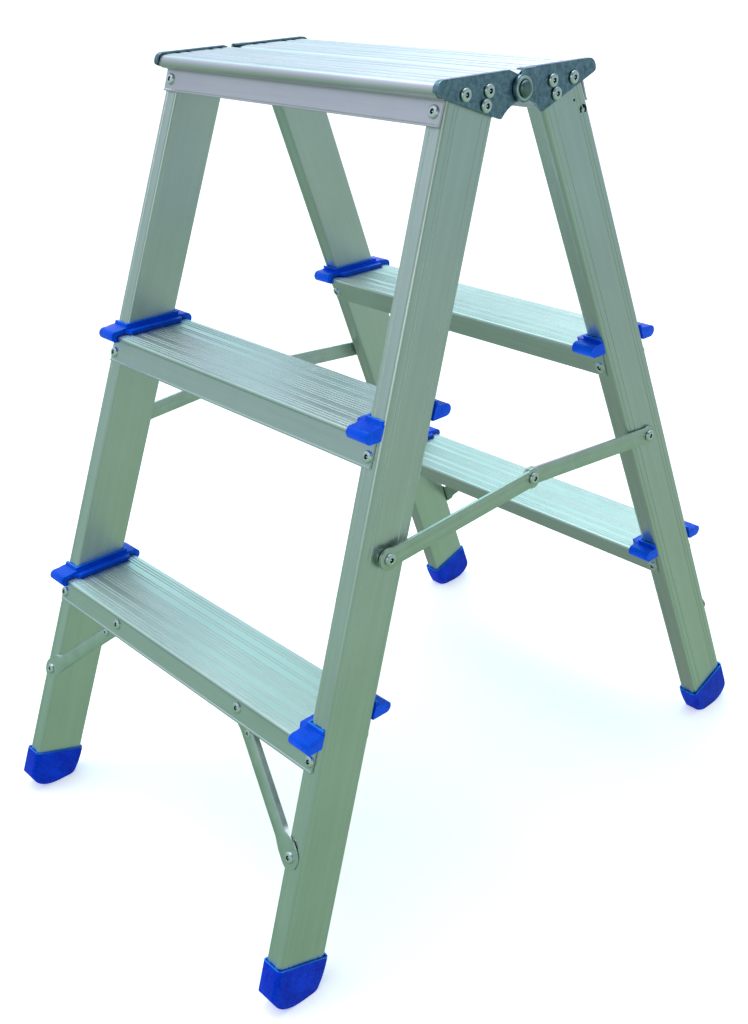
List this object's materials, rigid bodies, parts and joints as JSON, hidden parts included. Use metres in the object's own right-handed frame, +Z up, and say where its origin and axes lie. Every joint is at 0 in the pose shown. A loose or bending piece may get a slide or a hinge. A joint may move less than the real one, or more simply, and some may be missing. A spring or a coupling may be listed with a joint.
{
  "type": "folding step ladder",
  "caption": "Double-sided folding step ladder with ribbed aluminium treads, a hinged split platform, folding side spreaders and blue plastic feet.",
  "frame": {"origin": "on the floor, under the middle of the platform, with the ladder open", "axes": "+X along the treads to the right, +Y from the front frame to the rear frame, +Z up"},
  "size_m": [0.43, 0.6478, 0.6976],
  "materials": {
    "aluminium": "satin, as extruded",
    "zinc_steel": "zinc plated, dull blue-grey",
    "bright_steel": "zinc plated, pale",
    "rivet_steel": "bright",
    "blue_plastic": "moulded, slightly shiny"
  },
  "bodies": {
    "front_frame": {"front_brace_left": "bright_steel", "front_brace_right": "bright_steel", "front_foot_left": "blue_plastic", "front_foot_right": "blue_plastic", "front_hinge_plate_left": "zinc_steel", "front_hinge_plate_right": "zinc_steel", "front_hinge_rivet_left_1": "rivet_steel", "front_hinge_rivet_left_2": "rivet_steel", "front_hinge_rivet_left_3": "rivet_steel", "front_hinge_rivet_right_1": "rivet_steel", "front_hinge_rivet_right_2": "rivet_steel", "front_hinge_rivet_right_3": "rivet_steel", "front_insert_low_left": "blue_plastic", "front_insert_low_right": "blue_plastic", "front_insert_mid_left": "blue_plastic", "front_insert_mid_right": "blue_plastic", "front_link_end_rivet_left": "rivet_steel", "front_link_end_rivet_right": "rivet_steel", "front_platform": "aluminium", "front_stile_left": "aluminium", "front_stile_right": "aluminium", "front_tread_low": "aluminium", "front_tread_mid": "aluminium", "pivot_rivet_left": "zinc_steel", "pivot_rivet_right": "zinc_steel"},
    "rear_frame": {"rear_brace_left": "bright_steel", "rear_brace_right": "bright_steel", "rear_foot_left": "blue_plastic", "rear_foot_right": "blue_plastic", "rear_hinge_plate_left": "zinc_steel", "rear_hinge_plate_right": "zinc_steel", "rear_hinge_rivet_left_1": "rivet_steel", "rear_hinge_rivet_left_2": "rivet_steel", "rear_hinge_rivet_left_3": "rivet_steel", "rear_hinge_rivet_right_1": "rivet_steel", "rear_hinge_rivet_right_2": "rivet_steel", "rear_hinge_rivet_right_3": "rivet_steel", "rear_insert_low_left": "blue_plastic", "rear_insert_low_right": "blue_plastic", "rear_insert_mid_left": "blue_plastic", "rear_insert_mid_right": "blue_plastic", "rear_link_end_rivet_left": "rivet_steel", "rear_link_end_rivet_right": "rivet_steel", "rear_platform": "aluminium", "rear_stile_left": "aluminium", "rear_stile_right": "aluminium", "rear_tread_low": "aluminium", "rear_tread_mid": "aluminium"},
    "front_spreader_right": {"front_link_right": "bright_steel", "link_rivet_right": "rivet_steel"},
    "rear_spreader_right": {"rear_link_right": "bright_steel", "link_rivet_tail_right": "rivet_steel"},
    "front_spreader_left": {"front_link_left": "bright_steel", "link_rivet_left": "rivet_steel"},
    "rear_spreader_left": {"rear_link_left": "bright_steel", "link_rivet_tail_left": "rivet_steel"}
  },
  "joints": [
    {"name": "fold", "type": "hinge", "parent": "front_frame", "child": "rear_frame", "pos_m": [0, 0, 0.6839], "axis": [-1, 0, 0], "range_deg": [0, 40]},
    {"name": "front_spreader_right_turn", "type": "hinge", "parent": "front_frame", "child": "front_spreader_right", "pos_m": [0.1953, -0.1657, 0.3612], "axis": [1, 0, 0], "range_deg": [0, 50]},
    {"name": "rear_spreader_right_turn", "type": "hinge", "parent": "rear_frame", "child": "rear_spreader_right", "pos_m": [0.1953, 0.1657, 0.3612], "axis": [-1, 0, 0], "range_deg": [0, 50]},
    {"name": "front_spreader_left_turn", "type": "hinge", "parent": "front_frame", "child": "front_spreader_left", "pos_m": [-0.1953, -0.1657, 0.3612], "axis": [1, 0, 0], "range_deg": [0, 50]},
    {"name": "rear_spreader_left_turn", "type": "hinge", "parent": "rear_frame", "child": "rear_spreader_left", "pos_m": [-0.1953, 0.1657, 0.3612], "axis": [-1, 0, 0], "range_deg": [0, 50]}
  ],
  "couplings": [
    {"joint": "front_spreader_right_turn", "follows": "fold", "ratio": 1.2429},
    {"joint": "rear_spreader_right_turn", "follows": "fold", "ratio": 1.2429},
    {"joint": "front_spreader_left_turn", "follows": "fold", "ratio": 1.2429},
    {"joint": "rear_spreader_left_turn", "follows": "fold", "ratio": 1.2429}
  ]
}
